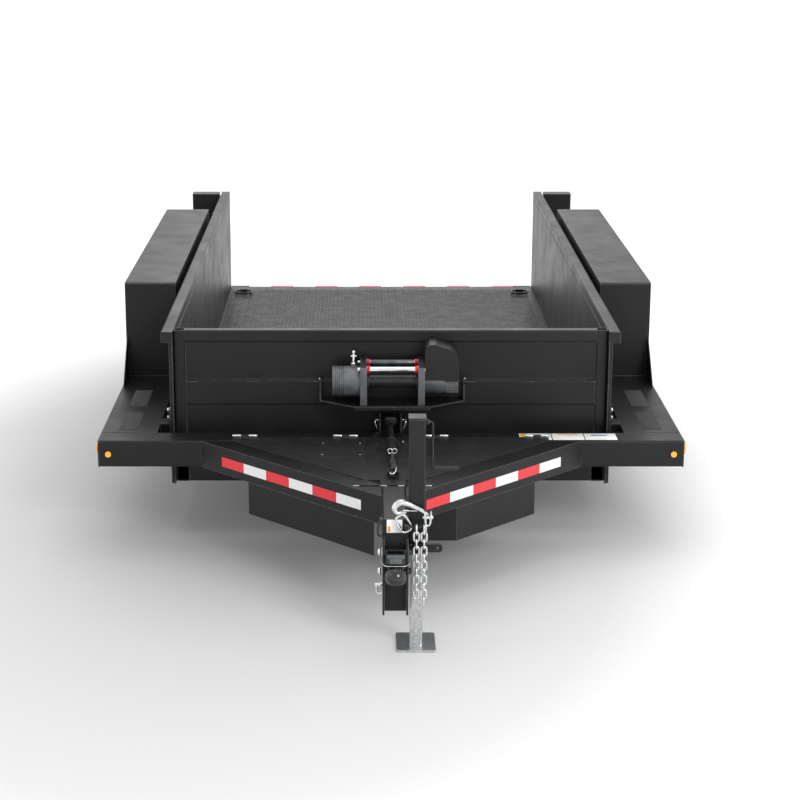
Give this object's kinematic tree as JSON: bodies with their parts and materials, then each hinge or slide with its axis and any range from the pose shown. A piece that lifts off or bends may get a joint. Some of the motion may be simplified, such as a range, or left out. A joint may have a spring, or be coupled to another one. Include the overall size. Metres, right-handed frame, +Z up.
{
  "type": "drop-deck trailer",
  "caption": "Tandem-axle utility trailer with a deck that tilts down at the rear, solid side walls, box fenders, a winch on the bulkhead and an A-frame tongue with a coupler and jack.",
  "frame": {"origin": "on the ground, under the middle of the trailer's box", "axes": "+X to the side, tongue and coupler at -Y, rear of the deck at +Y, +Z up"},
  "size_m": [2.59, 5.4779, 0.983],
  "materials": {
    "black_paint": "satin",
    "deck_paint": "satin",
    "galvanised": "satin",
    "tyre": "matt",
    "wheel_paint": "gloss",
    "amber_lens": "gloss",
    "red_lens": "gloss",
    "red_tape": "gloss",
    "white_tape": "gloss",
    "chrome": "polished",
    "black_plastic": "matt",
    "cast_black": "satin",
    "grip_rubber": "matt",
    "pump_steel": "satin"
  },
  "bodies": {
    "chassis": {"cross_beam": "black_paint", "centre_beam": "black_paint", "tongue_beam_right": "black_paint", "tongue_beam_left": "black_paint", "tongue_plate": "black_paint", "battery_box": "black_paint", "tool_box": "black_paint", "power_unit": "pump_steel", "side_rail_right": "black_paint", "side_rail_left": "black_paint", "fender_right": "black_paint", "fender_left": "black_paint", "rear_post_right": "black_paint", "rear_post_left": "black_paint", "torsion_housings": "black_paint", "coupler_channel": "black_paint", "coupler_head": "cast_black", "jack_tube": "black_paint", "chain_bracket": "black_paint", "chain_hook": "galvanised", "marker_lamps": "amber_lens", "tail_lamps": "red_lens", "reflectors_red": "red_tape", "reflectors_white": "white_tape"},
    "deck": {"deck_floor": "deck_paint", "deck_frame": "black_paint", "deck_wall_right": "black_paint", "deck_wall_left": "black_paint", "bulkhead": "black_paint", "winch_tray": "black_paint", "winch_motor": "cast_black", "winch_gearbox": "cast_black", "winch_tie_bars": "chrome", "winch_control_box": "black_plastic"},
    "lid_right": {"tongue_lid_right": "black_paint"},
    "lid_left": {"tongue_lid_left": "black_paint"},
    "lift_rod_right": {"lift_rod_right": "chrome"},
    "lift_rod_left": {"lift_rod_left": "chrome"},
    "jack_leg": {"jack_leg": "galvanised"},
    "jack_crank": {"jack_crank": "black_paint"},
    "jack_grip": {"jack_grip": "grip_rubber"},
    "coupler_latch": {"coupler_latch": "cast_black"},
    "safety_chain": {"safety_chain": "galvanised"},
    "winch_drum": {"winch_drum": "cast_black"},
    "winch_clutch_lever": {"winch_clutch_lever": "chrome"},
    "tie_ring_right": {"tie_ring_right": "cast_black"},
    "tie_ring_left": {"tie_ring_left": "cast_black"},
    "deck_lock": {"lock_link": "galvanised"},
    "arm_front_right": {"torsion_arm_front_right": "black_paint"},
    "wheel_front_right": {"rim_front_right": "wheel_paint", "tyre_front_right": "tyre"},
    "arm_front_left": {"torsion_arm_front_left": "black_paint"},
    "wheel_front_left": {"rim_front_left": "wheel_paint", "tyre_front_left": "tyre"},
    "arm_rear_right": {"torsion_arm_rear_right": "black_paint"},
    "wheel_rear_right": {"rim_rear_right": "wheel_paint", "tyre_rear_right": "tyre"},
    "arm_rear_left": {"torsion_arm_rear_left": "black_paint"},
    "wheel_rear_left": {"rim_rear_left": "wheel_paint", "tyre_rear_left": "tyre"}
  },
  "joints": [
    {"name": "deck_tilt", "type": "hinge", "parent": "chassis", "child": "deck", "pos_m": [0, -1.13705, 0.45], "axis": [1, 0, 0], "range_deg": [-3.6, 0]},
    {"name": "lift_rod_right_slide", "type": "slide", "parent": "chassis", "child": "lift_rod_right", "axis": [0, 0, 1], "range_m": [-0.24, 0]},
    {"name": "lift_rod_left_slide", "type": "slide", "parent": "chassis", "child": "lift_rod_left", "axis": [0, 0, 1], "range_m": [-0.24, 0]},
    {"name": "lid_right_hinge", "type": "hinge", "parent": "chassis", "child": "lid_right", "pos_m": [0, -1.40305, 0.517], "axis": [1, 0, 0], "range_deg": [-75, 0]},
    {"name": "lid_left_hinge", "type": "hinge", "parent": "chassis", "child": "lid_left", "pos_m": [0, -1.40305, 0.517], "axis": [1, 0, 0], "range_deg": [-75, 0]},
    {"name": "jack_leg_slide", "type": "slide", "parent": "chassis", "child": "jack_leg", "axis": [0, 0, 1], "range_m": [0, 0.14]},
    {"name": "jack_crank_turn", "type": "hinge", "parent": "chassis", "child": "jack_crank", "pos_m": [0.082, -2.57505, 0.912], "axis": [1, 0, 0], "range_deg": [0, 2016]},
    {"name": "jack_grip_spin", "type": "hinge", "parent": "jack_crank", "child": "jack_grip", "pos_m": [0.154, -2.57505, 0.727], "axis": [1, 0, 0], "continuous": true},
    {"name": "coupler_latch_hinge", "type": "hinge", "parent": "chassis", "child": "coupler_latch", "pos_m": [0, -2.68005, 0.388], "axis": [1, 0, 0], "range_deg": [0, 60]},
    {"name": "safety_chain_swing", "type": "hinge", "parent": "chassis", "child": "safety_chain", "pos_m": [0.094, -2.65205, 0.516], "axis": [1, 0, 0], "range_deg": [-30, 5]},
    {"name": "winch_drum_spin", "type": "hinge", "parent": "deck", "child": "winch_drum", "pos_m": [0.007, -1.31605, 0.747], "axis": [1, 0, 0], "continuous": true},
    {"name": "winch_clutch_turn", "type": "hinge", "parent": "deck", "child": "winch_clutch_lever", "pos_m": [-0.165, -1.31605, 0.825], "axis": [0, 0, 1], "range_deg": [0, 90]},
    {"name": "tie_ring_right_hinge", "type": "hinge", "parent": "deck", "child": "tie_ring_right", "pos_m": [0.88, 2.50395, 0.352], "axis": [1, 0, 0], "range_deg": [-100, 0]},
    {"name": "tie_ring_left_hinge", "type": "hinge", "parent": "deck", "child": "tie_ring_left", "pos_m": [-0.88, 2.50395, 0.352], "axis": [1, 0, 0], "range_deg": [-100, 0]},
    {"name": "deck_lock_hinge", "type": "hinge", "parent": "deck", "child": "deck_lock", "pos_m": [0, -1.26505, 0.553], "axis": [1, 0, 0], "range_deg": [-24, 0]},
    {"name": "arm_front_right_swing", "type": "hinge", "parent": "chassis", "child": "arm_front_right", "pos_m": [1.1, 0.22495, 0.35], "axis": [1, 0, 0], "range_deg": [-10, 12], "stiffness_Nm_per_rad": 3500, "springref_deg": -5.16},
    {"name": "wheel_front_right_spin", "type": "hinge", "parent": "arm_front_right", "child": "wheel_front_right", "pos_m": [1.196, 0.34495, 0.35], "axis": [1, 0, 0], "continuous": true},
    {"name": "arm_front_left_swing", "type": "hinge", "parent": "chassis", "child": "arm_front_left", "pos_m": [-1.1, 0.22495, 0.35], "axis": [1, 0, 0], "range_deg": [-10, 12], "stiffness_Nm_per_rad": 3500, "springref_deg": -5.16},
    {"name": "wheel_front_left_spin", "type": "hinge", "parent": "arm_front_left", "child": "wheel_front_left", "pos_m": [-1.196, 0.34495, 0.35], "axis": [1, 0, 0], "continuous": true},
    {"name": "arm_rear_right_swing", "type": "hinge", "parent": "chassis", "child": "arm_rear_right", "pos_m": [1.1, 1.10495, 0.35], "axis": [1, 0, 0], "range_deg": [-10, 12], "stiffness_Nm_per_rad": 3500, "springref_deg": -5.16},
    {"name": "wheel_rear_right_spin", "type": "hinge", "parent": "arm_rear_right", "child": "wheel_rear_right", "pos_m": [1.196, 1.22495, 0.35], "axis": [1, 0, 0], "continuous": true},
    {"name": "arm_rear_left_swing", "type": "hinge", "parent": "chassis", "child": "arm_rear_left", "pos_m": [-1.1, 1.10495, 0.35], "axis": [1, 0, 0], "range_deg": [-10, 12], "stiffness_Nm_per_rad": 3500, "springref_deg": -5.16},
    {"name": "wheel_rear_left_spin", "type": "hinge", "parent": "arm_rear_left", "child": "wheel_rear_left", "pos_m": [-1.196, 1.22495, 0.35], "axis": [1, 0, 0], "continuous": true}
  ],
  "couplings": [
    {"joint": "lift_rod_right_slide", "follows": "deck_tilt", "m_per_rad": 3.777},
    {"joint": "lift_rod_left_slide", "follows": "deck_tilt", "m_per_rad": 3.777},
    {"joint": "jack_crank_turn", "follows": "jack_leg_slide", "rad_per_m": 251.33}
  ]
}
